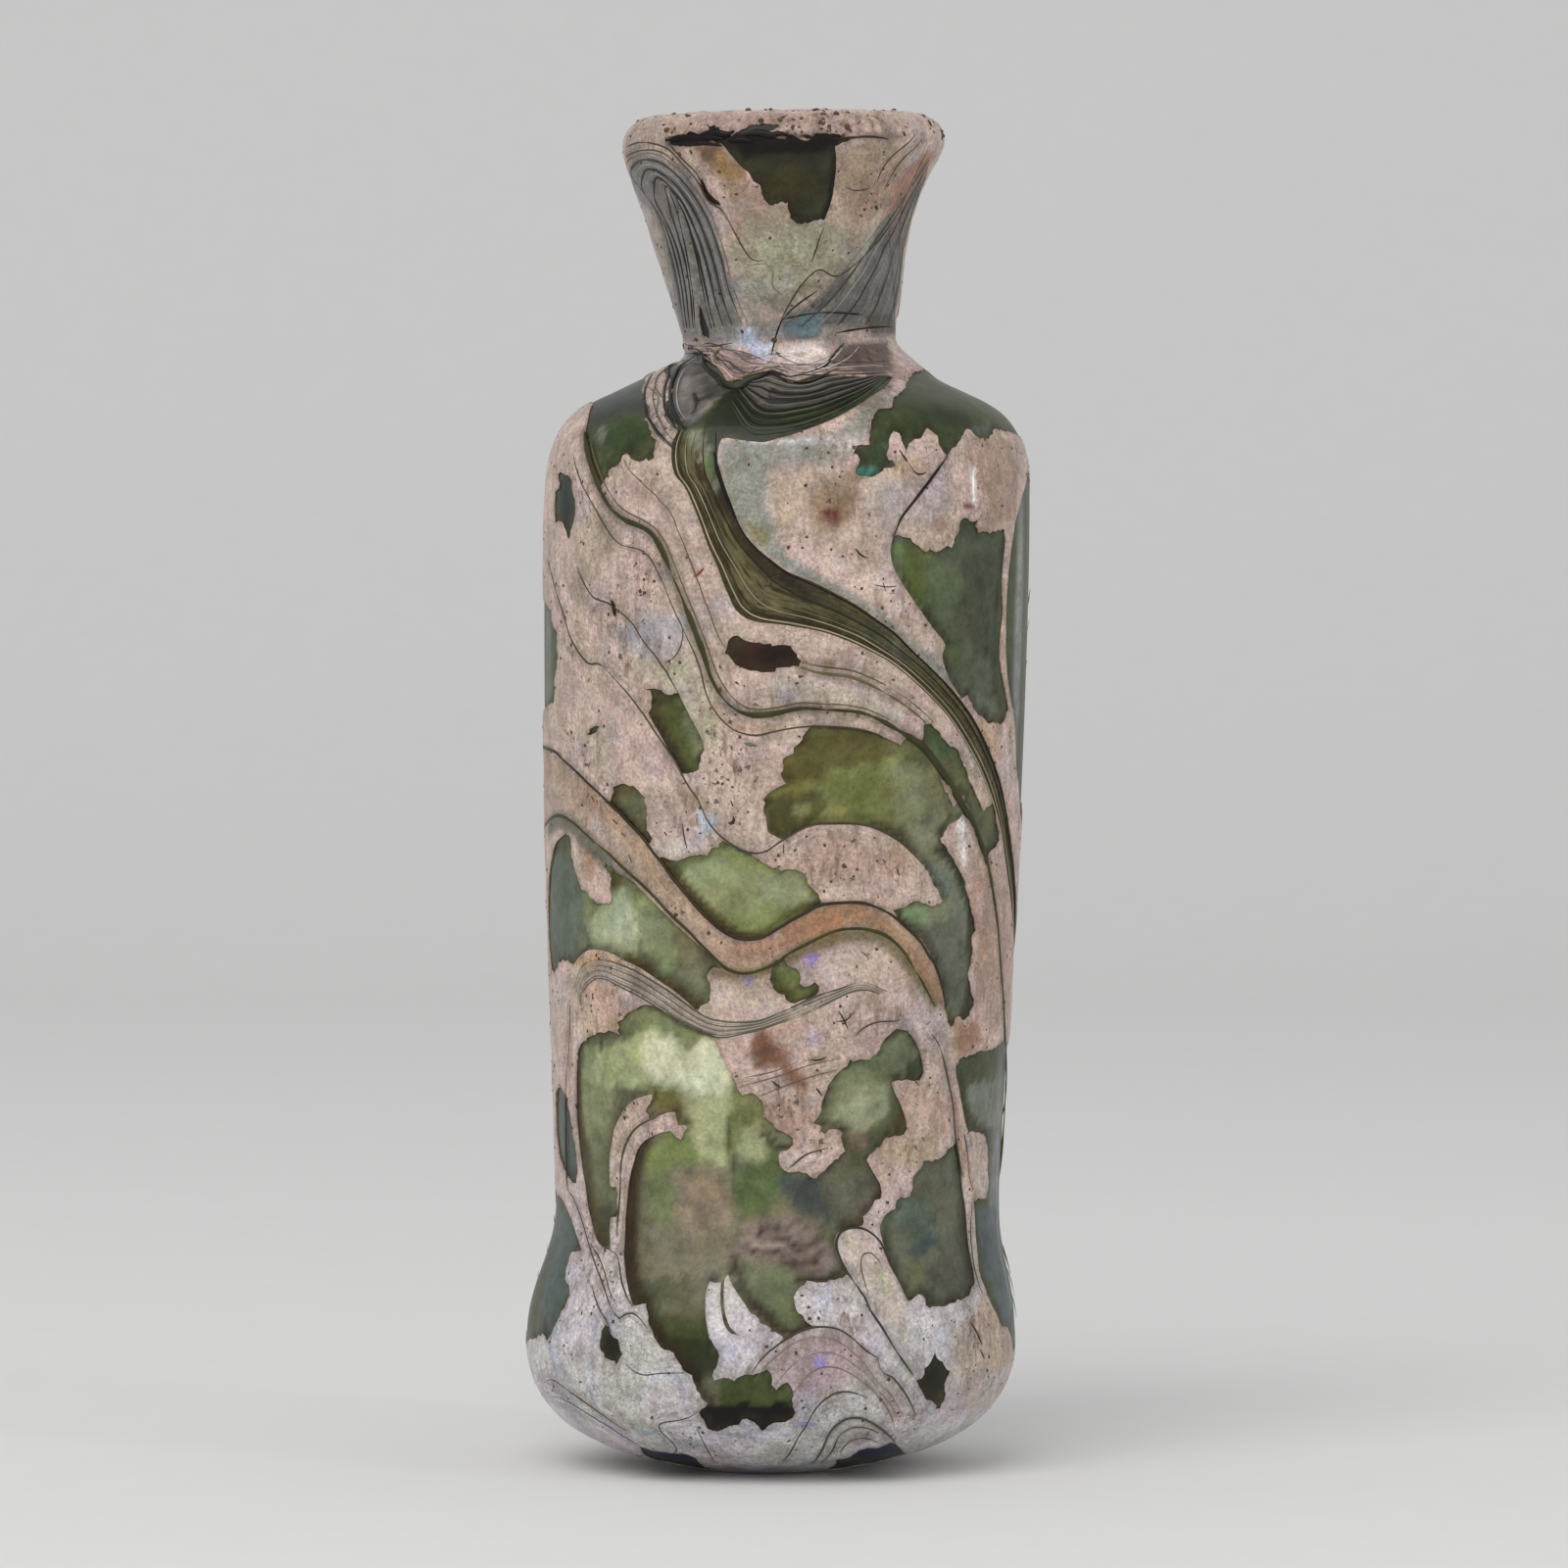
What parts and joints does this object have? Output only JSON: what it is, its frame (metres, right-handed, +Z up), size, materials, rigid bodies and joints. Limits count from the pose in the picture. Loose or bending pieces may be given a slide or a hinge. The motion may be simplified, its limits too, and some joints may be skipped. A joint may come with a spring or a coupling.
{
  "type": "glass medicine bottle",
  "caption": "Free-blown cylindrical glass medicine bottle with a sloping shoulder, a flaring funnel neck, a thick folded lip and a rounded base, its surface weathered.",
  "frame": {"origin": "on the surface that the bottle stands on, under the middle of its bounding box", "axes": "+Z up through the neck; the body leans towards +X; the side that the picture shows faces -Y"},
  "size_m": [0.045, 0.0438, 0.1202],
  "materials": {
    "olive_glass": "transparent olive-green glass, dulled by burial, with a film on its inner face",
    "weathering_crust": "opaque pinkish-cream weathering crust, flaking, with a pearly sheen"
  },
  "bodies": {
    "root": {"bottle": "olive_glass"}
  },
  "joints": []
}
